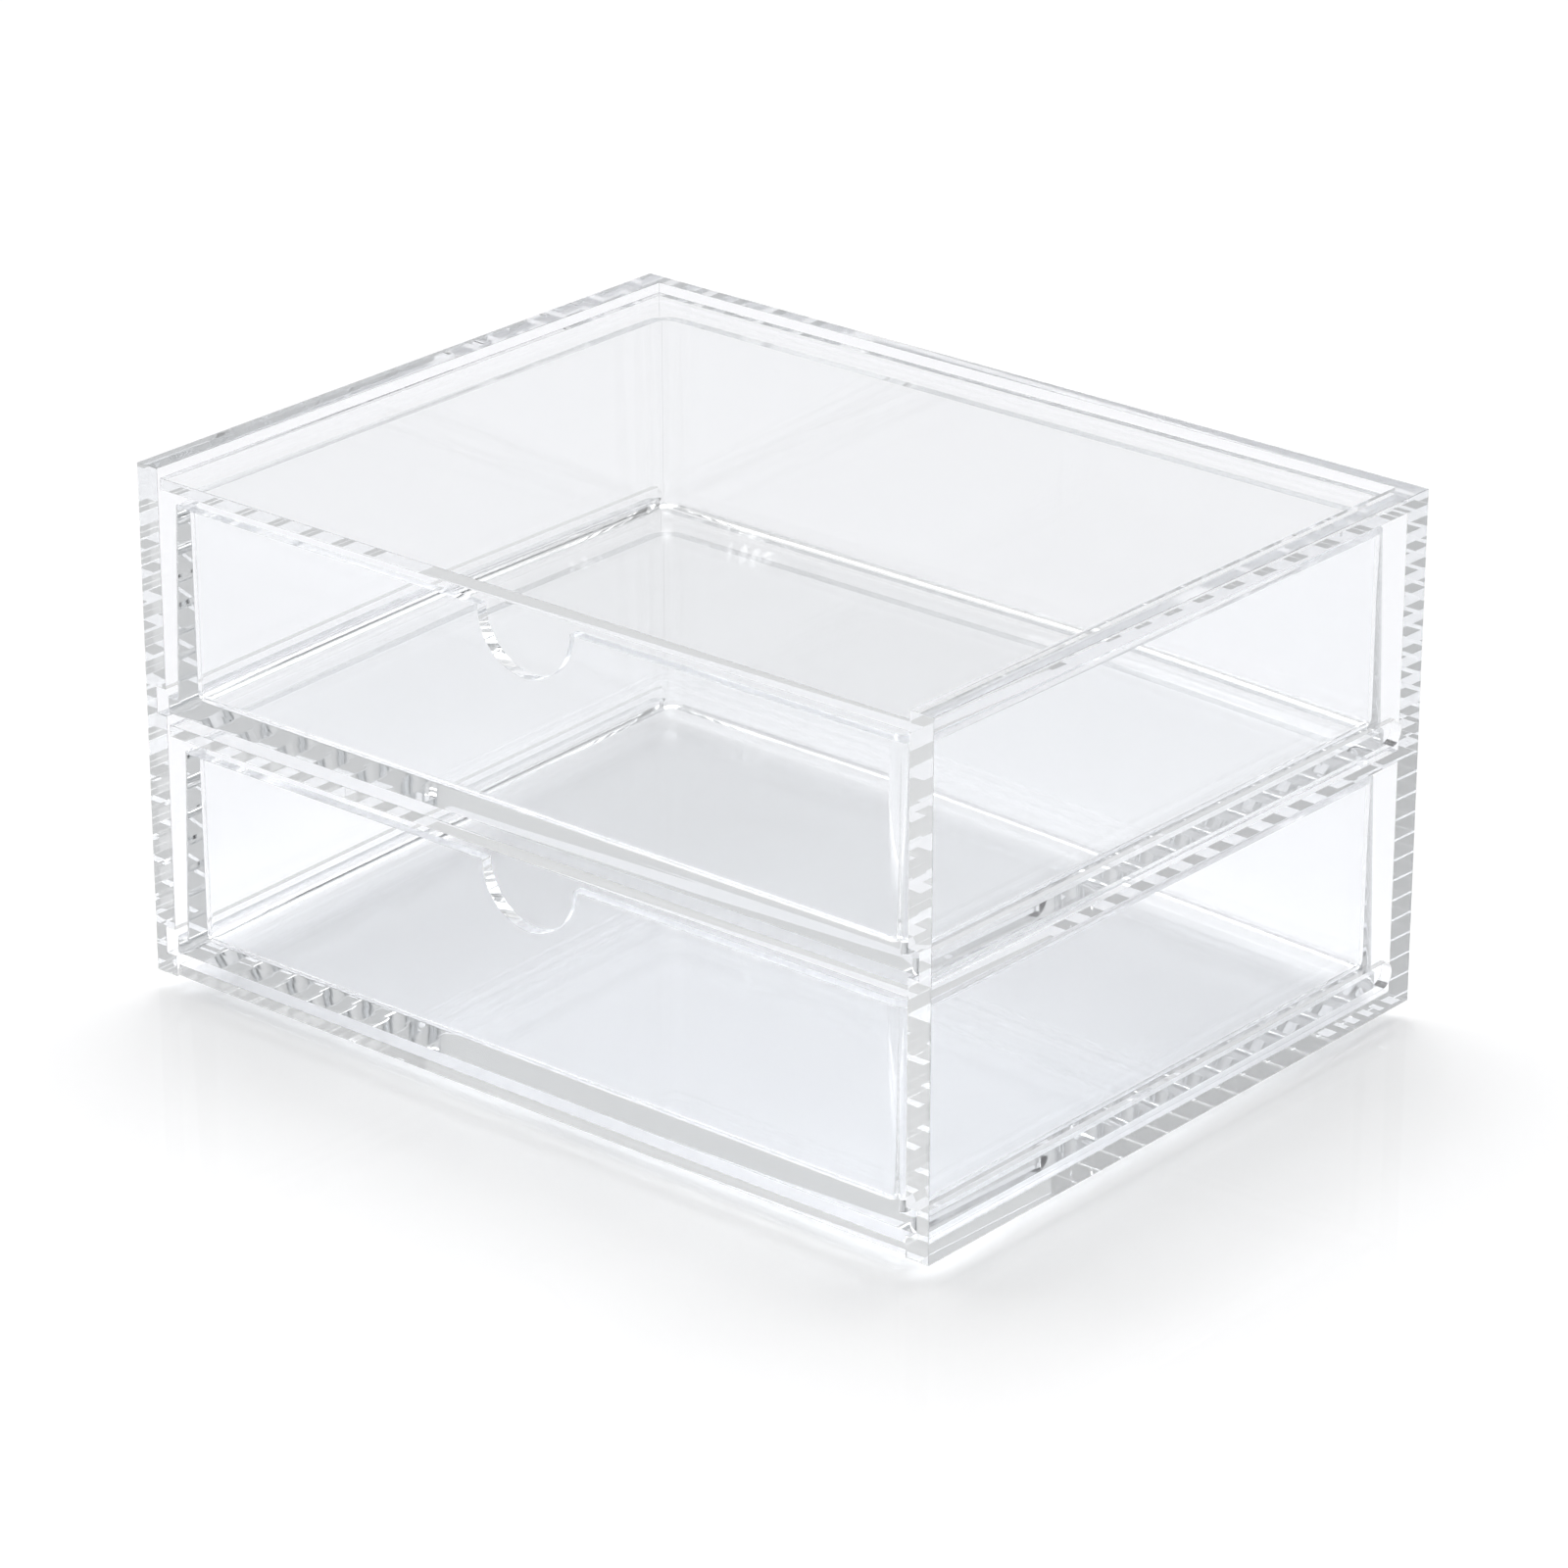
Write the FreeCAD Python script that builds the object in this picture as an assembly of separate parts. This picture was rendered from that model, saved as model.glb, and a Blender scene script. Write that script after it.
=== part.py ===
# Desk case with two drawers: a box of cemented clear acrylic sheet that carries two moulded drawers.
# Millimetres. X runs across the front, Y from the front to the back, Z up.
# The origin is the centre of the footprint, on the surface that the case stands on.
# The drawers hang by the flanges of their bases in grooves of the side panels, and open towards -Y.
import FreeCAD, Part
import math
import os

Vector = FreeCAD.Vector

# Case: overall size and sheets
case_width = 175.0
case_depth = 132.0
side_thickness = 4.8
back_thickness = 3.0
plate_thickness = 2.1       # bottom plate, middle shelf and top plate
bay_height = 43.4           # clear height of each drawer's bay
rim_height = 1.9            # side and back panels stand this far above the top plate
plate_setback = 0.7         # the plates' front edges lie this far behind the side panels'
sheet_edge_round = 0.3      # polished outer edges of the sheets

# Grooves milled into the side panels
groove_height = 5.0         # the cutter's diameter, so each groove ends in a half round
groove_depth = 2.3
groove_lift = 1.85          # lower face of a groove above the floor of its bay
groove_land = 0.7           # solid sheet left between a groove's end and the back panel

# Drawers: one moulding each
drawer_count = 2
base_thickness = 2.8        # the floor, and the flanges that run in the grooves
wall_thickness = 3.15       # of a wall where it leaves the base
outer_draft = 1.05          # degrees: the walls lean in towards the top on the outside
inner_draft = 0.65          # degrees: the hollow widens towards the top
front_corner_radius = 1.2   # outer upright corners beside the front
back_corner_radius = 5.0    # outer upright corners at the back, so the wall keeps its thickness round them
inner_corner_radius = 2.4
floor_fillet = 1.8
lip_round = 0.5             # top edges of the walls, and the edges of the finger notch
flange_corner_radius = 1.0
base_edge_round = 0.4
notch_radius = 10.2         # half-round finger notch in the middle of the front's top edge

# Clearances between drawer and case
running_clearance = 0.25    # under a flange, above the groove's lower face
headroom = 2.8              # above the drawer's top edge
wall_clearance = 1.2        # between a side panel and the foot of the drawer's side wall
flange_play = 1.2           # between a flange's edge and the bottom of its groove
flange_end_clearance = 0.3  # behind a flange, before its groove's half-round end
drawer_setback = 1.0        # the drawers' fronts lie this far behind the side panels' front edges
drawer_back_clearance = 0.3

# Worked out from the sizes above
bay_pitch = plate_thickness + bay_height
case_height = drawer_count * bay_pitch + plate_thickness + rim_height
inner_width = case_width - 2 * side_thickness
front_y = -case_depth / 2
back_panel_y = case_depth / 2 - back_thickness
plate_front_y = front_y + plate_setback
groove_end_y = back_panel_y - groove_land
groove_centre_end_y = groove_end_y - groove_height / 2
drawer_height = bay_height - groove_lift - running_clearance - headroom
drawer_front_y = front_y + drawer_setback
drawer_back_y = back_panel_y - drawer_back_clearance
tray_half_width = inner_width / 2 - wall_clearance
flange_half_width = inner_width / 2 + groove_depth - flange_play
flange_back_y = groove_centre_end_y - flange_end_clearance


def bay_floor_z(bay):
    """Top face of the plate under a bay; bay 0 is the lowest."""
    return plate_thickness + bay * bay_pitch


def box(x_range, y_range, z_range):
    """Box between two limits along each axis."""
    lengths = [high - low for low, high in (x_range, y_range, z_range)]
    return Part.makeBox(*lengths, Vector(x_range[0], y_range[0], z_range[0]))


def edges_where(shape, test):
    """Edges whose bounding box passes the test."""
    return [edge for edge in shape.Edges if test(edge.BoundBox)]


def lies_on(value, low, high):
    """True if a bounding box is flat and lies on a value along one axis."""
    flat = 1e-4
    return abs(low - value) < flat and abs(high - value) < flat


def upright_edges(shape, height):
    """Edges that climb the whole height of a block."""
    return edges_where(shape, lambda b: b.ZLength > 0.9 * height)


def plate_with_round_corners(half_width, y_range, radius, height):
    """Level plate standing on z = 0, symmetric about X = 0."""
    blank = box((-half_width, half_width), y_range, (0, height))
    return blank.makeFillet(radius, upright_edges(blank, height))


def drafted_block(half_width, y_range, corner_radii, z_range, draft):
    """Block whose four walls lean inwards by the draft in degrees, or outwards where it is negative.

    The corner radii are those of the two front corners and of the two back ones.
    """
    low, high = z_range
    front, back = y_range
    inset = (high - low) * math.tan(math.radians(draft))
    foot = (-half_width, low, -back, -back + inset, -half_width + inset)
    top = (half_width, high, -front, -front - inset, half_width - inset)
    blank = Part.makeWedge(*foot, *top)
    blank.rotate(Vector(0, 0, 0), Vector(1, 0, 0), 90)
    middle = (front + back) / 2
    corners = upright_edges(blank, high - low)
    front_corners = [edge for edge in corners if edge.BoundBox.Center.y < middle]
    blank = blank.makeFillet(corner_radii[0], front_corners)
    corners = upright_edges(blank, high - low)
    back_corners = [edge for edge in corners if edge.BoundBox.Center.y > middle]
    return blank.makeFillet(corner_radii[1], back_corners)


def groove_cutter(side, bay):
    """Path of the milling cutter: open at the front, half round at the back."""
    wall_x = side * inner_width / 2
    low = bay_floor_z(bay) + groove_lift
    middle = low + groove_height / 2
    high = low + groove_height
    overrun_y = front_y - groove_height
    low_front = Vector(wall_x, overrun_y, low)
    low_back = Vector(wall_x, groove_centre_end_y, low)
    tip = Vector(wall_x, groove_end_y, middle)
    high_back = Vector(wall_x, groove_centre_end_y, high)
    high_front = Vector(wall_x, overrun_y, high)
    outline = Part.Wire([
        Part.makeLine(low_front, low_back),
        Part.Arc(low_back, tip, high_back).toShape(),
        Part.makeLine(high_back, high_front),
        Part.makeLine(high_front, low_front),
    ])
    return Part.Face(outline).extrude(Vector(side * groove_depth, 0, 0))


def side_panel(side):
    """Full-height side sheet; side is -1 for the left and 1 for the right."""
    outer_x = side * case_width / 2
    inner_x = side * inner_width / 2
    sheet = box(sorted((outer_x, inner_x)), (front_y, case_depth / 2), (0, case_height))
    outer_edges = edges_where(sheet, lambda b: lies_on(outer_x, b.XMin, b.XMax))
    sheet = sheet.makeFillet(sheet_edge_round, outer_edges)
    for bay in range(drawer_count):
        sheet = sheet.cut(groove_cutter(side, bay))
    return sheet


def back_panel():
    """Full-height back sheet between the side panels."""
    outer_y = case_depth / 2
    sheet = box((-inner_width / 2, inner_width / 2), (back_panel_y, outer_y), (0, case_height))

    def is_long_outer_edge(b):
        return lies_on(outer_y, b.YMin, b.YMax) and b.XLength > inner_width / 2

    return sheet.makeFillet(sheet_edge_round, edges_where(sheet, is_long_outer_edge))


def plate(level):
    """Level sheet between the side panels, in front of the back panel; level 0 is the bottom plate."""
    low = level * bay_pitch
    high = low + plate_thickness
    sheet = box((-inner_width / 2, inner_width / 2), (plate_front_y, back_panel_y), (low, high))

    def is_front_edge(b):
        return lies_on(plate_front_y, b.YMin, b.YMax) and b.XLength > inner_width / 2

    return sheet.makeFillet(sheet_edge_round, edges_where(sheet, is_front_edge))


def is_at_base_top(b):
    """True for the bounding box of a face or edge that lies level with the base's upper face."""
    return lies_on(base_thickness, b.ZMin, b.ZMax)


def drawer_blank():
    """Drafted walls over a foot with upright sides, which stands out along each side as a flange."""
    walls = drafted_block(
        tray_half_width, (drawer_front_y, drawer_back_y), (front_corner_radius, back_corner_radius),
        (base_thickness, drawer_height), outer_draft)
    section = [face for face in walls.Faces if is_at_base_top(face.BoundBox)]
    foot = section[0].extrude(Vector(0, 0, -base_thickness))
    flanges = plate_with_round_corners(
        flange_half_width, (drawer_front_y, flange_back_y), flange_corner_radius, base_thickness)
    return walls.fuse([foot, flanges]).removeSplitter()


def drawer_hollow():
    """Inside of the drawer, with rounded upright corners and a fillet all round its floor."""
    inside = (drawer_front_y + wall_thickness, drawer_back_y - wall_thickness)
    overrun = drawer_height + lip_round
    hollow = drafted_block(
        tray_half_width - wall_thickness, inside, (inner_corner_radius, inner_corner_radius),
        (base_thickness, overrun), -inner_draft)
    return hollow.makeFillet(floor_fillet, edges_where(hollow, is_at_base_top))


def finger_notch():
    """Cylinder that cuts the half-round notch through the front wall."""
    length = 2 * wall_thickness
    start = Vector(0, drawer_front_y - wall_thickness / 2, drawer_height)
    return Part.makeCylinder(notch_radius, length, start, Vector(0, 1, 0))


def drawer():
    """One moulding, standing on z = 0."""
    tray = drawer_blank().cut(drawer_hollow()).cut(finger_notch())

    def is_lip_edge(b):
        reach = notch_radius + lip_round
        on_top = lies_on(drawer_height, b.ZMin, b.ZMax)
        in_notch = b.ZMin > drawer_height - reach and b.XLength < 2 * notch_radius + lip_round
        beside_notch = abs(b.XMin) < reach and abs(b.XMax) < reach
        return on_top or (in_notch and beside_notch)

    tray = tray.makeFillet(lip_round, edges_where(tray, is_lip_edge))
    return tray.makeFillet(base_edge_round, edges_where(tray, lambda b: lies_on(0, b.ZMin, b.ZMax)))


def placed_drawer(bay):
    """Drawer at rest in a bay, its flanges just clear of the grooves' lower faces."""
    lift = bay_floor_z(bay) + groove_lift + running_clearance
    return drawer().translated(Vector(0, 0, lift))


def build():
    """All pieces by name."""
    return {
        "left_side_panel": side_panel(-1),
        "right_side_panel": side_panel(1),
        "back_panel": back_panel(),
        "bottom_plate": plate(0),
        "middle_shelf": plate(1),
        "top_plate": plate(drawer_count),
        "lower_drawer": placed_drawer(0),
        "upper_drawer": placed_drawer(1),
    }


os.makedirs("parts", exist_ok=True)
for name, piece in build().items():
    piece.exportStep(f"parts/{name}.step")
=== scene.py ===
import math
from functools import partial

import bmesh
import bpy
from bpy.props import FloatProperty, FloatVectorProperty, PointerProperty
from mathutils import Matrix, Vector


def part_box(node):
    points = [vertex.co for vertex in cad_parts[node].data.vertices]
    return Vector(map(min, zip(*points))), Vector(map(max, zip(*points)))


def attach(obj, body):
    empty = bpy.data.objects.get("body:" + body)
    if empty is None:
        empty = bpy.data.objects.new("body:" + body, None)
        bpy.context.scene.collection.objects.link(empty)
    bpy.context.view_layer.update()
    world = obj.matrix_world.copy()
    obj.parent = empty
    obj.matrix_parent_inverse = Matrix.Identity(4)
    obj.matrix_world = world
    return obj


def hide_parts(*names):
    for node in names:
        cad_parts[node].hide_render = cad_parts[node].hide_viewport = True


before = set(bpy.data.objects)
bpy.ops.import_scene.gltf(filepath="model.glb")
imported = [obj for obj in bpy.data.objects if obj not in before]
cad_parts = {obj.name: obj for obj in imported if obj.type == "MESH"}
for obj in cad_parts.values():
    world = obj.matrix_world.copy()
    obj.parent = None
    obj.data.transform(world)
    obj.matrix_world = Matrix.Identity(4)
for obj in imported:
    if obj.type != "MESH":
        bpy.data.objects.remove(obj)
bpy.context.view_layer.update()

bl_info = {
    "name": "Clear desk case",
    "version": (1, 0, 0),
    "blender": (4, 5, 0),
    "location": "View3D > Sidebar > Desk case",
    "description": "Builds a cemented acrylic case, its moulded drawers and the studio they stand in",
    "category": "Object",
}

MM = 0.001

# Pieces of the frame
PLATES = ("bottom_plate", "middle_shelf", "top_plate")
SHEETS = ("left_side_panel", "right_side_panel", "back_panel", *PLATES)
DRAWERS = ("lower_drawer", "upper_drawer")
BOX = {name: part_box(name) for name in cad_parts}

# Fineness of the meshes
CORNER_STEPS = 12                   # sides of a quarter round at a drawer's upright corner
FLANGE_STEPS = 6                    # and at a flange's
FILLET_STEPS = 10                   # sides of the fillet round a drawer's floor
GROOVE_STEPS = 12                   # sides of a quarter of a groove's half-round end
NOTCH_SIDES = 96                    # sides of the whole round that the finger notch is cut from
SHEET_EDGE_STEPS = 3                # segments across a rounded edge of a sheet
LIP_STEPS = 4                       # and of a drawer
MERGE_DISTANCE = 0.002 * MM         # points closer than this are one
FLAT_ANGLE = math.radians(0.05)     # faces that meet at less than this are one
SHARP_ANGLE = math.radians(40)      # edges sharper than this are rounded

# Stretch of the faint clouds: none in cast sheet, and drawn out along X, as the melt flowed, in a moulding
CAST_STRETCH = (1, 1, 1)
FLOW_STRETCH = (0.4, 1, 1)

# Where the softboxes hang, as seen from the case
SOFTBOXES = {"left_softbox": Vector((-0.48, 0.10, 1.0)), "back_softbox": Vector((-0.10, 0.48, 1.0))}


# ---------------------------------------------------------------- settings


def length(name, description, millimetres):
    """Length that a user can change, given in millimetres."""
    return FloatProperty(
        name=name, description=description, default=millimetres * MM, min=0, precision=5, unit="LENGTH")


def angle(name, description, degrees):
    """Angle that a user can change, given in degrees."""
    return FloatProperty(
        name=name, description=description, default=math.radians(degrees), precision=3, subtype="ANGLE")


def amount(name, description, default):
    """Plain number that a user can change."""
    return FloatProperty(name=name, description=description, default=default, min=0, precision=3)


def colour(name, description, default):
    """Colour that a user can change."""
    return FloatVectorProperty(
        name=name, description=description, default=default, min=0, max=1, subtype="COLOR")


class CaseSizes(bpy.types.PropertyGroup):
    """Sizes of the cemented case that its pieces' outer boxes don't give"""

    groove_depth: length("Groove depth", "Depth of the grooves milled into the side panels", 2.3)
    groove_height: length("Groove height", "Diameter of the cutter that mills the grooves", 5.0)
    groove_lift: length("Groove lift", "Lower face of a groove above the plate under it", 1.85)
    groove_land: length("Groove land", "Solid sheet left between a groove's end and the back panel", 0.7)
    edge_round: length("Edge round", "Flame-polished edges, and the cement's fillets at the joints", 0.06)


class DrawerSizes(bpy.types.PropertyGroup):
    """Sizes of the moulded drawers that their outer boxes don't give"""

    base_thickness: length("Base thickness", "Thickness of the floor and its flanges", 2.8)
    wall_thickness: length("Wall thickness", "Thickness of a wall where it leaves the base", 3.15)
    wall_clearance: length("Wall clearance", "Gap between a side panel and a side wall's foot", 1.2)
    flange_setback: length("Flange setback", "From a flange's rear end to the back of the rear wall", 3.2)
    flange_corner: length("Flange corner", "Radius of the flanges' upright corners", 1.0)
    outer_draft: angle("Outer draft", "Lean of the walls' outer faces", 1.05)
    inner_draft: angle("Inner draft", "Lean of the walls' inner faces", 0.65)
    front_corner: length("Front corner", "Radius of the outer upright corners beside the front", 1.2)
    back_corner: length("Back corner", "Radius of the outer upright corners at the back", 5.0)
    inner_corner: length("Inner corner", "Radius of the inner upright corners", 2.4)
    floor_fillet: length("Floor fillet", "Radius between the walls and the floor", 1.8)
    notch_radius: length("Notch radius", "Radius of the half-round finger notch", 10.2)
    edge_round: length("Edge round", "Rounding of the lip, the notch and the base", 0.42)


class AcrylicFinish(bpy.types.PropertyGroup):
    """Look of the clear acrylic"""

    refraction: amount("Refraction", "Index of refraction of acrylic", 1.49)
    sheet_tint: colour("Sheet tint", "What a cast sheet lets through", (0.987, 0.990, 0.993))
    moulding_tint: colour("Moulding tint", "What a moulded wall lets through", (0.987, 0.990, 0.993))
    flow_tint: colour("Flow tint", "What the faint clouds in the acrylic let through", (0.983, 0.987, 0.991))
    depth_colour: colour("Depth colour", "Colour left after a long way inside", (0.50, 0.55, 0.58))
    sheet_density: amount("Sheet density", "Absorption of a cast sheet, per metre", 1.6)
    moulding_density: amount("Moulding density", "Absorption of a moulding, per metre", 1.7)
    sheet_cloud: amount("Sheet cloud", "Clouds in a cast sheet, per metre", 25.0)
    moulding_cloud: amount("Moulding cloud", "Flow marks in a moulding, per metre", 60.0)


class StudioSettings(bpy.types.PropertyGroup):
    """Floor, light and camera"""

    floor_size: length("Floor size", "Half the side of the floor", 3000.0)
    paper_drop: length("Paper drop", "The white paper lies this far below the floor's surface", 3.0)
    glaze_drop: length("Glaze drop", "The glaze lies this far below what stands on it", 0.02)
    paper: colour("Paper", "Colour of the paper", (0.872, 0.872, 0.872))
    # Painted shade: the paper's colour for transmission and glossy rays, darker and bluer than the paper
    # itself, so the acrylic shows it painted darker
    paper_painted_darker_through_acrylic: colour("Paper in acrylic", "Its colour through acrylic", (0.855, 0.855, 0.870))
    paper_lift: amount("Paper lift", "Glow that brings the bare paper up to white", 0.02)
    glaze_refraction: amount("Glaze refraction", "Index of refraction of the glaze", 1.12)
    glaze_roughness: amount("Glaze roughness", "Roughness of the glaze", 0.02)
    room_left: amount("Room, left", "Brightness of the room to the left of the case", 0.79)
    room_right: amount("Room, right", "Brightness of the room to the right of the case", 0.66)
    room_front: amount("Room, front", "Brightness of the room in front of the case", 0.56)
    fill: amount("Fill", "Brightness of the room as the floor sees it", 0.50)
    softbox_strength: amount("Softbox strength", "Strength of each softbox", 1.10)
    softbox_spread: angle("Softbox spread", "Width of a softbox as the case sees it", 42.0)
    view_azimuth: angle("View azimuth", "Turn of the camera to the right of the front", 40.387)
    view_elevation: angle("View elevation", "Height of the camera above the horizon", 23.132)
    view_distance: length("View distance", "From the camera to the middle of its view", 1120.6)
    view_height: length("View height", "Height of the middle of the view above the floor", 37.8)
    view_depth: length("View depth", "Middle of the view behind the middle of the case", 1.2)
    focal_length: amount("Focal length", "Camera's focal length in millimetres", 148.75)


# ---------------------------------------------------------------- geometry nodes


def node(tree, kind, **settings):
    """New node with its properties set."""
    made = tree.nodes.new(kind)
    for name, value in settings.items():
        setattr(made, name, value)
    return made


def feed(tree, socket, value):
    """Joins a socket to another one, or gives it a plain value."""
    if isinstance(value, bpy.types.NodeSocket):
        tree.links.new(value, socket)
    else:
        socket.default_value = value


def run(tree, kind, inputs, **settings):
    """First output of a new node whose inputs are fed by name."""
    made = node(tree, kind, **settings)
    for name, value in inputs.items():
        feed(tree, made.inputs[name], value)
    return made.outputs[0]


def sum_of(tree, operation, first, second):
    """Result of one sum on two sizes, each a socket or a plain number."""
    made = node(tree, "ShaderNodeMath", operation=operation)
    feed(tree, made.inputs[0], first)
    feed(tree, made.inputs[1], second)
    return made.outputs[0]


def sums(tree):
    """Functions that add, subtract and multiply in one tree."""
    return [partial(sum_of, tree, operation) for operation in ("ADD", "SUBTRACT", "MULTIPLY")]


def vector(tree, x=0.0, y=0.0, z=0.0):
    """Vector from three sizes."""
    return run(tree, "ShaderNodeCombineXYZ", {"X": x, "Y": y, "Z": z})


def sheet(tree, size, centre):
    """Sheet of acrylic with square edges."""
    cube = run(tree, "GeometryNodeMeshCube", {"Size": vector(tree, *size)})
    return run(tree, "GeometryNodeTransform", {"Geometry": cube, "Translation": vector(tree, *centre)})


def repeated(tree, piece, count, first, pitch):
    """Copies of a piece, one above the other."""
    places = {"Count": count, "Start Location": vector(tree, z=first), "Offset": vector(tree, z=pitch)}
    points = run(tree, "GeometryNodeMeshLine", places, mode="OFFSET")
    copies = run(tree, "GeometryNodeInstanceOnPoints", {"Points": points, "Instance": piece})
    return run(tree, "GeometryNodeRealizeInstances", {"Geometry": copies})


def slot_cutter(tree, span, slot_length, height, centre_y):
    """Bar with half-round ends that lies across the case and mills both side panels at once."""
    multiply = partial(sum_of, tree, "MULTIPLY")
    bar = run(tree, "GeometryNodeCurvePrimitiveQuadrilateral", {"Width": height, "Height": slot_length})
    ends = {"Curve": bar, "Radius": multiply(height, 0.5), "Count": GROOVE_STEPS, "Limit Radius": True}
    outline = run(tree, "GeometryNodeFilletCurve", ends, mode="POLY")
    half = multiply(span, 0.5)
    ends = {"Start": vector(tree, z=multiply(half, -1.0)), "End": vector(tree, z=half)}
    way = run(tree, "GeometryNodeCurvePrimitiveLine", ends, mode="POINTS")
    swept = {"Curve": way, "Profile Curve": outline, "Fill Caps": True}
    upright = run(tree, "GeometryNodeCurveToMesh", swept)
    clean = run(tree, "GeometryNodeMergeByDistance", {"Geometry": upright, "Distance": MERGE_DISTANCE})
    lying = {"Geometry": clean, "Translation": vector(tree, y=centre_y), "Rotation": (0, math.pi / 2, 0)}
    return run(tree, "GeometryNodeTransform", lying)


def boolean(tree, operation, pieces, body=None):
    """One solid from several, by the exact solver."""
    made = node(tree, "GeometryNodeMeshBoolean", operation=operation, solver="EXACT")
    if body is not None:
        feed(tree, made.inputs["Mesh 1"], body)
    for piece in pieces:
        feed(tree, made.inputs["Mesh 2"], piece)
    return made.outputs["Mesh"]


CASE_INPUTS = (
    "Width", "Depth", "Height", "Side thickness", "Back thickness", "Plate thickness", "Plate setback",
    "Plate pitch", "Groove depth", "Groove height", "Groove lift", "Groove land",
)


def case_tree():
    """Cemented case: side panels, back panel, a plate for each level and a pair of grooves for each bay."""
    tree = bpy.data.node_groups.new("cemented_case", "GeometryNodeTree")
    tree.interface.new_socket("Geometry", in_out="OUTPUT", socket_type="NodeSocketGeometry")
    for name in CASE_INPUTS:
        tree.interface.new_socket(name, in_out="INPUT", socket_type="NodeSocketFloat")
    tree.interface.new_socket("Plates", in_out="INPUT", socket_type="NodeSocketInt")
    tree.interface.new_socket("Finish", in_out="INPUT", socket_type="NodeSocketMaterial")
    given = node(tree, "NodeGroupInput").outputs
    width, depth, height, side, back, plate, setback, pitch, groove_depth, cutter, lift, land = (
        given[name] for name in CASE_INPUTS)
    add, subtract, multiply = sums(tree)

    inner_width = subtract(width, multiply(side, 2.0))
    middle_z = multiply(height, 0.5)
    side_x = multiply(subtract(width, side), 0.5)
    sheets = [
        sheet(tree, (side, depth, height), (multiply(side_x, hand), 0.0, middle_z))
        for hand in (-1.0, 1.0)
    ]
    back_y = multiply(subtract(depth, back), 0.5)
    sheets.append(sheet(tree, (inner_width, back, height), (0.0, back_y, middle_z)))
    plate_depth = subtract(subtract(depth, back), setback)
    plate_y = multiply(subtract(setback, back), 0.5)
    level = sheet(tree, (inner_width, plate_depth, plate), (0.0, plate_y, 0.0))
    sheets.append(repeated(tree, level, given["Plates"], multiply(plate, 0.5), pitch))
    shell = boolean(tree, "UNION", sheets)

    # The cutter starts its own height in front of the case, so that only its rear half round leaves a mark.
    span = add(inner_width, multiply(groove_depth, 2.0))
    slot_length = add(subtract(subtract(depth, back), land), cutter)
    slot_end = subtract(subtract(multiply(depth, 0.5), back), land)
    slot_y = subtract(slot_end, multiply(slot_length, 0.5))
    bar = slot_cutter(tree, span, slot_length, cutter, slot_y)
    bays = subtract(given["Plates"], 1)
    first = add(add(plate, lift), multiply(cutter, 0.5))
    milled = boolean(tree, "DIFFERENCE", [repeated(tree, bar, bays, first, pitch)], body=shell)

    realized = run(tree, "GeometryNodeRealizeInstances", {"Geometry": milled})
    finished = run(tree, "GeometryNodeSetMaterial", {"Geometry": realized, "Material": given["Finish"]})
    feed(tree, node(tree, "NodeGroupOutput").inputs["Geometry"], finished)
    return tree


def grown(name, tree, values):
    """Plain mesh that a node tree makes from the values of its named inputs."""
    obj = new_object(name, bpy.data.meshes.new(name))
    modifier = obj.modifiers.new(tree.name, "NODES")
    modifier.node_group = tree
    for item in tree.interface.items_tree:
        if item.item_type == "SOCKET" and item.in_out == "INPUT":
            modifier[item.identifier] = values[item.name]
    bake(obj)
    return obj


# ---------------------------------------------------------------- meshes


def new_object(name, mesh):
    """Object with this mesh, linked to the scene."""
    obj = bpy.data.objects.new(name, mesh)
    bpy.context.scene.collection.objects.link(obj)
    return obj


def mesh_from(name, bm):
    """Mesh that takes what a bmesh holds."""
    mesh = bpy.data.meshes.new(name)
    bm.to_mesh(mesh)
    bm.free()
    return mesh


def rounded_ring(half_width, front, back, radii, height, steps):
    """Points of a rounded rectangle at one height, anticlockwise from above.

    The radii are those of the two front corners and of the two back ones.
    """
    points = []
    fore, aft = radii
    corners = ((1, fore), (1, aft), (-1, aft), (-1, fore))
    for quarter, (side, radius) in enumerate(corners):
        x = side * (half_width - radius)
        y = front + radius if quarter in (0, 3) else back - radius
        for step in range(steps + 1):
            turn = math.radians(-90 + 90 * (quarter + step / steps))
            points.append(Vector((x + radius * math.cos(turn), y + radius * math.sin(turn), height)))
    return points


def stacked(name, rings):
    """Closed solid through rings of equal count, listed from the bottom up."""
    bm = bmesh.new()
    rows = [[bm.verts.new(point) for point in ring] for ring in rings]
    for low, high in zip(rows, rows[1:]):
        for i in range(len(low)):
            j = (i + 1) % len(low)
            bm.faces.new((low[i], low[j], high[j], high[i]))
    bm.faces.new(reversed(rows[0]))
    bm.faces.new(rows[-1])
    bmesh.ops.recalc_face_normals(bm, faces=bm.faces)
    return new_object(name, mesh_from(name, bm))


def bake(obj):
    """Makes what the modifiers show the object's own mesh."""
    bpy.context.view_layer.update()
    mesh = bpy.data.meshes.new_from_object(obj.evaluated_get(bpy.context.evaluated_depsgraph_get()))
    mesh.name = obj.name
    obj.modifiers.clear()
    obj.data = mesh


def carve(obj, other, operation):
    """Joins the other solid on or cuts it away, and uses it up."""
    modifier = obj.modifiers.new(operation.title(), "BOOLEAN")
    modifier.operation = operation
    modifier.solver = "EXACT"
    modifier.object = other
    bake(obj)
    bpy.data.objects.remove(other)


def tidy(obj):
    """Merges doubles, dissolves the cuts left across flat faces and turns the faces outwards."""
    bm = bmesh.new()
    bm.from_mesh(obj.data)
    bmesh.ops.remove_doubles(bm, verts=bm.verts, dist=MERGE_DISTANCE)
    bmesh.ops.dissolve_limit(bm, angle_limit=FLAT_ANGLE, verts=bm.verts, edges=bm.edges)
    bmesh.ops.recalc_face_normals(bm, faces=bm.faces)
    bm.to_mesh(obj.data)
    bm.free()


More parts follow.
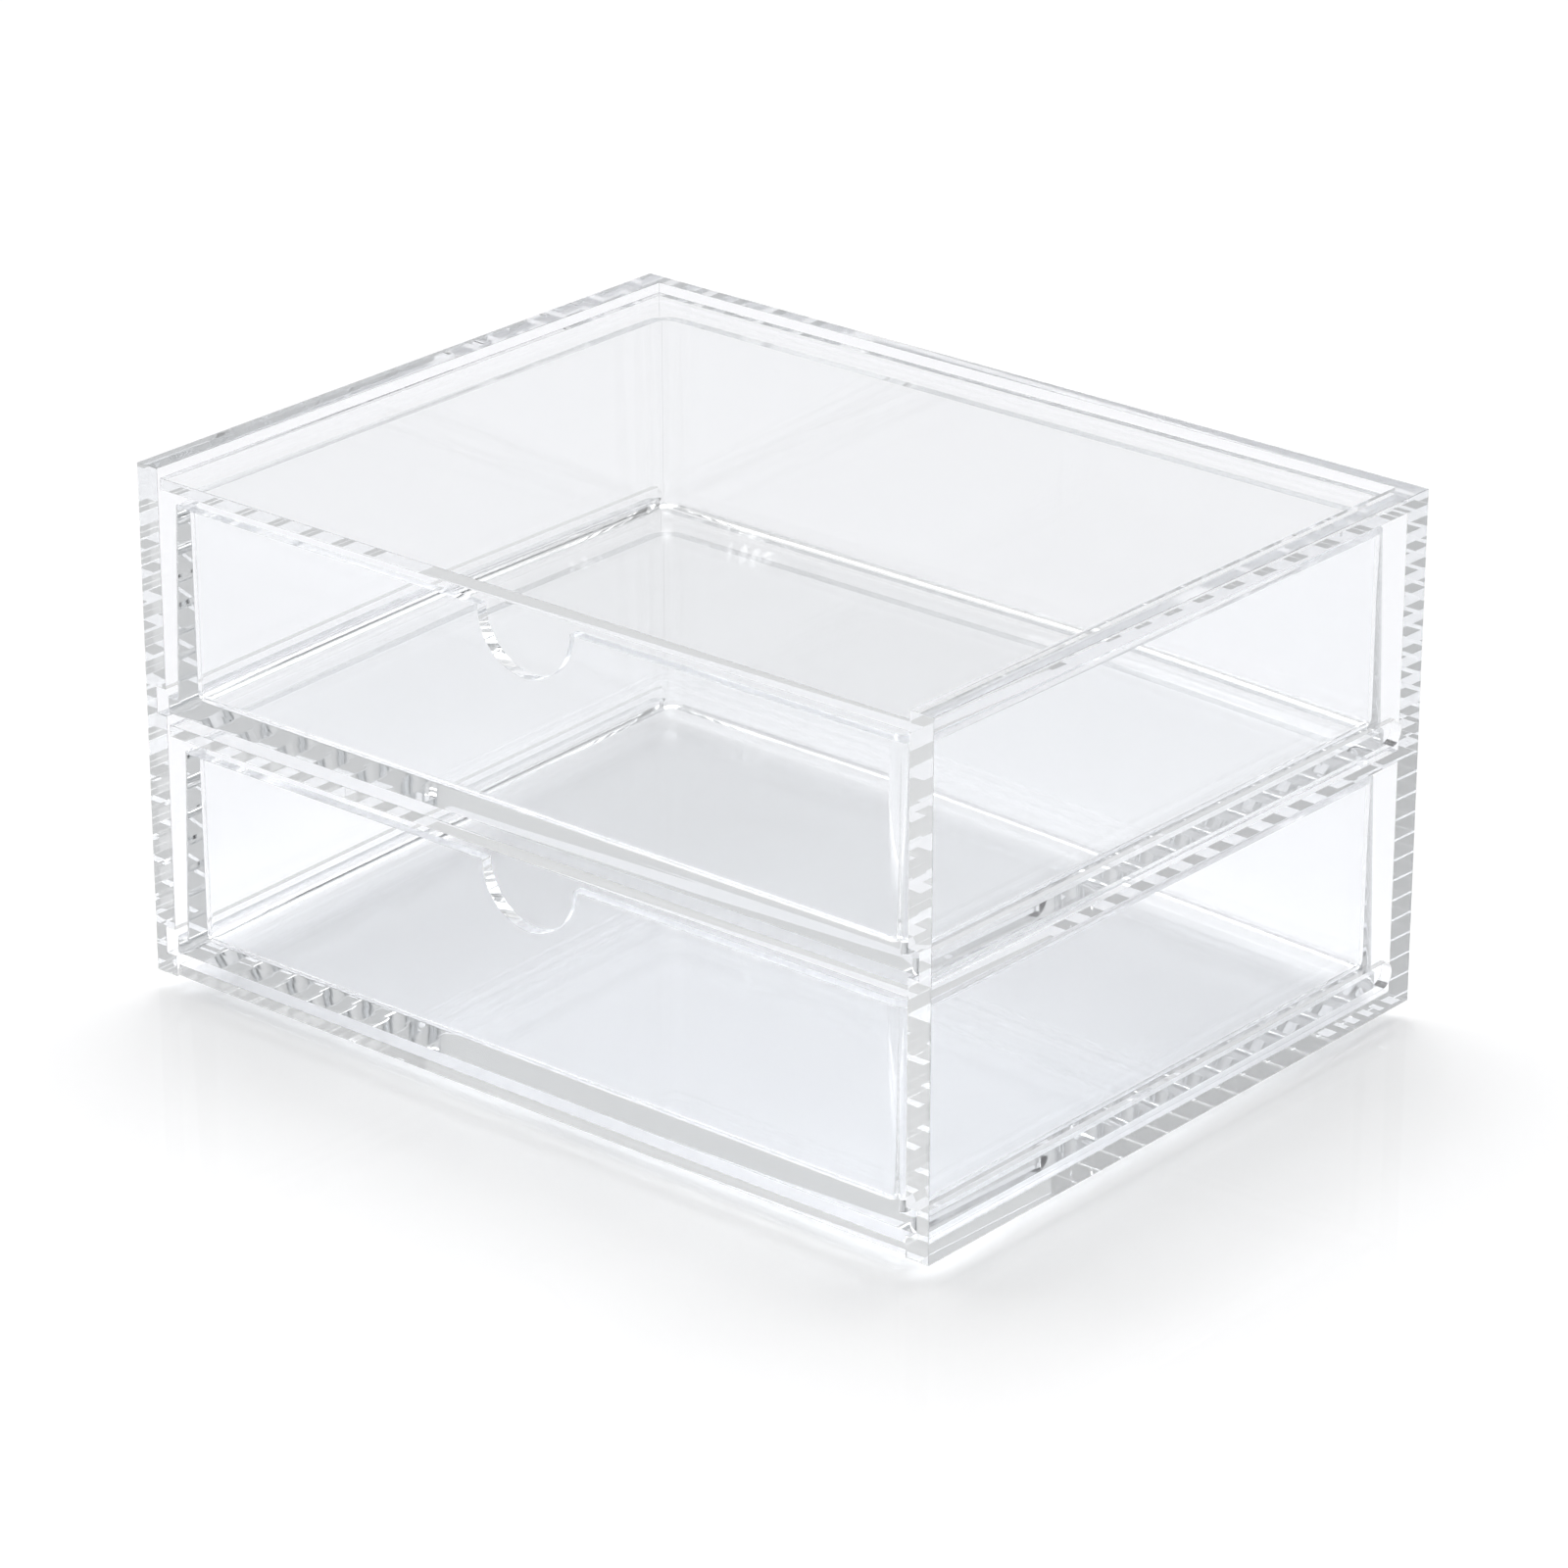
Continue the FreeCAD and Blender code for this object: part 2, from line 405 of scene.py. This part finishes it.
def round_edges(obj, radius, segments):
    """Rounds every sharp edge and keeps the flat faces optically flat."""
    bevel = obj.modifiers.new("Edge round", "BEVEL")
    bevel.limit_method = "ANGLE"
    bevel.angle_limit = SHARP_ANGLE
    bevel.width = radius
    bevel.segments = segments
    bevel.use_clamp_overlap = True
    bevel.face_strength_mode = "FSTR_ALL"
    flat = obj.modifiers.new("Flat faces", "WEIGHTED_NORMAL")
    flat.mode = "FACE_AREA"
    flat.weight = 100
    flat.keep_sharp = True
    flat.use_face_influence = True
    obj.data.shade_smooth()
    bake(obj)


def finish_with(obj, material):
    """Gives the whole piece one material."""
    obj.data.materials.clear()
    obj.data.materials.append(material)


# ---------------------------------------------------------------- drawers


def drawer_body(sizes, half_width, front, back, top, flange_half_width):
    """Drafted walls on an upright foot, with a flange along each side, still solid inside."""
    base_top = sizes.base_thickness
    lean = math.tan(sizes.outer_draft) * (top - base_top)
    corners = (sizes.front_corner, sizes.back_corner)
    body = stacked("drawer", [
        rounded_ring(half_width, front, back, corners, 0, CORNER_STEPS),
        rounded_ring(half_width, front, back, corners, base_top, CORNER_STEPS),
        rounded_ring(half_width - lean, front + lean, back - lean, corners, top, CORNER_STEPS),
    ])
    flange_back = back - sizes.flange_setback
    flange_corners = (sizes.flange_corner, sizes.flange_corner)
    flanges = stacked("flanges", [
        rounded_ring(flange_half_width, front, flange_back, flange_corners, height, FLANGE_STEPS)
        for height in (0, base_top)
    ])
    carve(body, flanges, "UNION")
    return body


def drawer_hollow(sizes, half_width, front, back, top):
    """Inside of a drawer up to its lip, with a fillet round the floor and walls that open upwards."""
    floor = sizes.base_thickness
    widening = math.tan(sizes.inner_draft)
    fillet = sizes.floor_fillet
    rings = []
    for step in range(FILLET_STEPS + 1):
        turn = math.radians(90 * step / FILLET_STEPS)
        rise = fillet * (1 - math.cos(turn))
        step_in = fillet * (1 - math.sin(turn))
        inset = step_in - widening * rise
        radius = sizes.inner_corner - step_in
        rings.append(rounded_ring(
            half_width - inset, front + inset, back - inset, (radius, radius), floor + rise, CORNER_STEPS))
    overrun = top + sizes.edge_round * 2
    out = widening * (overrun - floor)
    corners = (sizes.inner_corner, sizes.inner_corner)
    rings.append(rounded_ring(half_width + out, front - out, back + out, corners, overrun, CORNER_STEPS))
    return stacked("hollow", rings)


def finger_notch(sizes, front, top):
    """Cylinder across the front wall."""
    bm = bmesh.new()
    middle = front + sizes.wall_thickness / 2
    place = Matrix.Translation((0, middle, top)) @ Matrix.Rotation(math.pi / 2, 4, "X")
    bmesh.ops.create_cone(
        bm, cap_ends=True, segments=NOTCH_SIDES, radius1=sizes.notch_radius, radius2=sizes.notch_radius,
        depth=2 * sizes.wall_thickness, matrix=place)
    return new_object("notch", mesh_from("notch", bm))


def drawer_moulding(sizes):
    """Mesh of one moulded drawer that stands on z = 0; both drawers are alike."""
    low, high = BOX["lower_drawer"]
    height = high.z - low.z
    half_width = BOX["back_panel"][1].x - sizes.wall_clearance
    body = drawer_body(sizes, half_width, low.y, high.y, height, high.x)
    wall = sizes.wall_thickness
    hollow = drawer_hollow(sizes, half_width - wall, low.y + wall, high.y - wall, height)
    carve(body, hollow, "DIFFERENCE")
    carve(body, finger_notch(sizes, low.y, height), "DIFFERENCE")
    tidy(body)
    round_edges(body, sizes.edge_round, LIP_STEPS)
    mesh = body.data
    bpy.data.objects.remove(body)
    return mesh


# ---------------------------------------------------------------- materials


def new_material(name):
    """Material with its node tree, and the tree itself."""
    material = bpy.data.materials.new(name)
    material.use_nodes = True
    return material, material.node_tree


def blend_colours(tree, factor, first, second):
    """Colour between two others."""
    mix = node(tree, "ShaderNodeMix", data_type="RGBA")
    feed(tree, mix.inputs["Factor"], factor)
    feed(tree, mix.inputs["A"], first)
    feed(tree, mix.inputs["B"], second)
    return mix.outputs["Result"]


def clear_acrylic(name, finish, tint, density, cloud, stretch):
    """Clear acrylic that darkens with the way through it and holds faint clouds along its flow."""
    material, tree = new_material(name)
    shader = tree.nodes["Principled BSDF"]
    shader.inputs["Transmission Weight"].default_value = 1.0
    shader.inputs["IOR"].default_value = finish.refraction
    shader.inputs["Roughness"].default_value = 0.0

    place = node(tree, "ShaderNodeTexCoord").outputs["Object"]
    flow = run(tree, "ShaderNodeMapping", {"Vector": place, "Scale": stretch})
    clouds = run(tree, "ShaderNodeTexNoise", {"Vector": flow, "Scale": cloud, "Detail": 0.0})
    feed(tree, shader.inputs["Base Color"], blend_colours(tree, clouds, (*tint, 1), (*finish.flow_tint, 1)))

    absorption = node(tree, "ShaderNodeVolumeAbsorption")
    absorption.inputs["Color"].default_value = (*finish.depth_colour, 1)
    absorption.inputs["Density"].default_value = density
    feed(tree, tree.nodes["Material Output"].inputs["Volume"], absorption.outputs["Volume"])
    return material


def floor_paper(settings):
    """Matt white paper, painted a little darker and bluer where transmission and glossy rays see it through
    or in the acrylic, and lifted to white where the camera sees it bare.
    """
    material, tree = new_material("floor_paper")
    shader = tree.nodes["Principled BSDF"]
    shader.inputs["Roughness"].default_value = 0.9
    shader.inputs["Specular IOR Level"].default_value = 0.1
    shader.inputs["Emission Color"].default_value = (1, 1, 1, 1)
    path = node(tree, "ShaderNodeLightPath").outputs
    glow = sum_of(tree, "MULTIPLY", path["Is Camera Ray"], settings.paper_lift)
    feed(tree, shader.inputs["Emission Strength"], glow)
    # Painted shade: transmission and glossy rays see the paper in a darker, bluer colour than the camera
    # does
    in_acrylic = sum_of(tree, "MAXIMUM", path["Is Transmission Ray"], path["Is Glossy Ray"])
    paper = blend_colours(tree, in_acrylic, (*settings.paper, 1), (*settings.paper_painted_darker_through_acrylic, 1))
    feed(tree, shader.inputs["Base Color"], paper)
    return material


def clear_glaze(settings):
    """Clear varnish over the paper, with a weak reflection."""
    material, tree = new_material("clear_glaze")
    tree.nodes.remove(tree.nodes["Principled BSDF"])
    gloss = run(tree, "ShaderNodeBsdfGlossy", {"Roughness": settings.glaze_roughness})
    mix = node(tree, "ShaderNodeMixShader")
    feed(tree, mix.inputs[0], run(tree, "ShaderNodeFresnel", {"IOR": settings.glaze_refraction}))
    feed(tree, mix.inputs[1], node(tree, "ShaderNodeBsdfTransparent").outputs[0])
    feed(tree, mix.inputs[2], gloss)
    feed(tree, tree.nodes["Material Output"].inputs["Surface"], mix.outputs[0])
    return material


# ---------------------------------------------------------------- studio


def floor_layer(name, half_side, drop, material):
    """Level layer of the floor, which isn't part of the object."""
    bm = bmesh.new()
    bmesh.ops.create_grid(bm, x_segments=1, y_segments=1, size=half_side)
    bmesh.ops.translate(bm, vec=(0, 0, -drop), verts=bm.verts)
    layer = new_object(name, mesh_from(name, bm))
    finish_with(layer, material)


def grey(level):
    """Grey of one brightness, as a colour socket takes it."""
    return (level, level, level, 1)


def turned_towards(tree, direction, start, full):
    """How far a look into the room turns towards a direction: 0 up to the start, 1 from where it is full."""
    turned = node(tree, "ShaderNodeVectorMath", operation="DOT_PRODUCT")
    feed(tree, turned.inputs[0], node(tree, "ShaderNodeTexCoord").outputs["Generated"])
    turned.inputs[1].default_value = direction
    limits = {"Value": turned.outputs["Value"], "From Min": start, "From Max": full}
    return run(tree, "ShaderNodeMapRange", limits, interpolation_type="SMOOTHSTEP")


def studio_room(settings):
    """White backdrop, and a pale room, darker to the right and in front, in reflections and as light."""
    world = bpy.data.worlds.new("studio")
    world.use_nodes = True
    tree = world.node_tree
    path = node(tree, "ShaderNodeLightPath").outputs
    to_right = turned_towards(tree, (1, 0, 0), start=-0.5, full=0.5)
    to_front = turned_towards(tree, (0, -1, 0), start=0.1, full=0.9)
    sides = blend_colours(tree, to_right, grey(settings.room_left), grey(settings.room_right))
    room = blend_colours(tree, to_front, sides, grey(settings.room_front))
    backdrop = grey(1.0)
    straight = blend_colours(tree, path["Glossy Depth"], backdrop, room)
    through = blend_colours(tree, path["Is Transmission Ray"], room, straight)
    light = blend_colours(tree, path["Diffuse Depth"], through, grey(settings.fill))
    seen = blend_colours(tree, path["Is Camera Ray"], light, backdrop)
    feed(tree, tree.nodes["Background"].inputs["Color"], seen)
    bpy.context.scene.world = world


def softbox(name, place, settings):
    """Large soft light that shines from its place towards the case."""
    lamp = bpy.data.lights.new(name, "SUN")
    lamp.energy = settings.softbox_strength
    lamp.angle = settings.softbox_spread
    light = new_object(name, lamp)
    light.location = place
    light.rotation_euler = (-place).to_track_quat("-Z", "Y").to_euler()


def studio_camera(settings):
    """Camera above the case's right front corner."""
    data = bpy.data.cameras.new("camera")
    data.sensor_width = 36
    data.lens = settings.focal_length
    data.clip_start = 0.01
    data.clip_end = 20
    camera = new_object("camera", data)
    turn, rise = settings.view_azimuth, settings.view_elevation
    way = Vector((math.sin(turn) * math.cos(rise), -math.cos(turn) * math.cos(rise), math.sin(rise)))
    middle = Vector((0, settings.view_depth, settings.view_height))
    camera.location = middle + settings.view_distance * way
    camera.rotation_euler = (math.pi / 2 - rise, 0, turn)
    bpy.context.scene.camera = camera


def light_through_acrylic(cycles, bounces):
    """Lets light cross and re-cross the edges of many sheets."""
    cycles.max_bounces = bounces
    cycles.transmission_bounces = bounces
    cycles.glossy_bounces = bounces
    cycles.diffuse_bounces = 6
    cycles.blur_glossy = 0.0


# ---------------------------------------------------------------- operators


class DESKCASE_OT_case(bpy.types.Operator):
    """Builds the cemented case: two side panels, the back panel and three plates"""

    bl_idname = "deskcase.case"
    bl_label = "Cemented case"

    def execute(self, context):
        sizes = context.scene.case_sizes
        finish = context.scene.acrylic_finish
        side_low, side_high = BOX["right_side_panel"]
        back_low, back_high = BOX["back_panel"]
        plate_low, plate_high = BOX["bottom_plate"]
        acrylic = clear_acrylic(
            "cast_sheet", finish, finish.sheet_tint, finish.sheet_density, finish.sheet_cloud, CAST_STRETCH)
        shell = grown("case_shell", case_tree(), {
            "Width": 2 * side_high.x,
            "Depth": side_high.y - side_low.y,
            "Height": side_high.z,
            "Side thickness": side_high.x - side_low.x,
            "Back thickness": back_high.y - back_low.y,
            "Plate thickness": plate_high.z - plate_low.z,
            "Plate setback": plate_low.y - side_low.y,
            "Plate pitch": BOX["middle_shelf"][0].z - plate_low.z,
            "Groove depth": sizes.groove_depth,
            "Groove height": sizes.groove_height,
            "Groove lift": sizes.groove_lift,
            "Groove land": sizes.groove_land,
            "Plates": len(PLATES),
            "Finish": acrylic,
        })
        tidy(shell)
        round_edges(shell, sizes.edge_round, SHEET_EDGE_STEPS)
        finish_with(shell, acrylic)
        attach(shell, "case")
        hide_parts(*SHEETS)
        return {"FINISHED"}


class DESKCASE_OT_drawers(bpy.types.Operator):
    """Builds the two moulded drawers"""

    bl_idname = "deskcase.drawers"
    bl_label = "Drawers"

    def execute(self, context):
        finish = context.scene.acrylic_finish
        acrylic = clear_acrylic(
            "moulded_acrylic", finish, finish.moulding_tint, finish.moulding_density, finish.moulding_cloud,
            FLOW_STRETCH)
        mesh = drawer_moulding(context.scene.drawer_sizes)
        for name in DRAWERS:
            moulding = new_object(name + "_moulding", mesh.copy())
            moulding.data.transform(Matrix.Translation((0, 0, BOX[name][0].z)))
            finish_with(moulding, acrylic)
            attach(moulding, name)
            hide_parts(name)
        return {"FINISHED"}


class DESKCASE_OT_stage(bpy.types.Operator):
    """Sets up the floor, the room, the softboxes and the camera"""

    bl_idname = "deskcase.stage"
    bl_label = "Studio"

    def execute(self, context):
        settings = context.scene.studio_settings
        context.scene.view_settings.view_transform = "Standard"
        floor_layer("studio_floor", settings.floor_size, settings.paper_drop, floor_paper(settings))
        floor_layer("studio_glaze", settings.floor_size, settings.glaze_drop, clear_glaze(settings))
        studio_room(settings)
        for name, place in SOFTBOXES.items():
            softbox(name, place, settings)
        studio_camera(settings)
        light_through_acrylic(context.scene.cycles, bounces=64)
        return {"FINISHED"}


GROUPS = {
    "case_sizes": CaseSizes,
    "drawer_sizes": DrawerSizes,
    "acrylic_finish": AcrylicFinish,
    "studio_settings": StudioSettings,
}


class DESKCASE_PT_panel(bpy.types.Panel):
    """Lists the building steps and the settings"""

    bl_idname = "DESKCASE_PT_panel"
    bl_label = "Desk case"
    bl_space_type = "VIEW_3D"
    bl_region_type = "UI"
    bl_category = "Desk case"

    def draw(self, context):
        for operator in OPERATORS:
            self.layout.operator(operator.bl_idname)
        for name, group in GROUPS.items():
            column = self.layout.column()
            for setting in group.__annotations__:
                column.prop(getattr(context.scene, name), setting)


OPERATORS = (DESKCASE_OT_case, DESKCASE_OT_drawers, DESKCASE_OT_stage)
CLASSES = (*GROUPS.values(), *OPERATORS, DESKCASE_PT_panel)


def register():
    """Adds the settings, the operators and the panel."""
    for cls in CLASSES:
        bpy.utils.register_class(cls)
    for name, group in GROUPS.items():
        setattr(bpy.types.Scene, name, PointerProperty(type=group))


def unregister():
    """Takes away what register added."""
    for name in GROUPS:
        delattr(bpy.types.Scene, name)
    for cls in reversed(CLASSES):
        bpy.utils.unregister_class(cls)


def main():
    """Builds the case, the drawers and the studio."""
    register()
    bpy.ops.deskcase.case()
    bpy.ops.deskcase.drawers()
    bpy.ops.deskcase.stage()


if __name__ == "__main__":
    main()
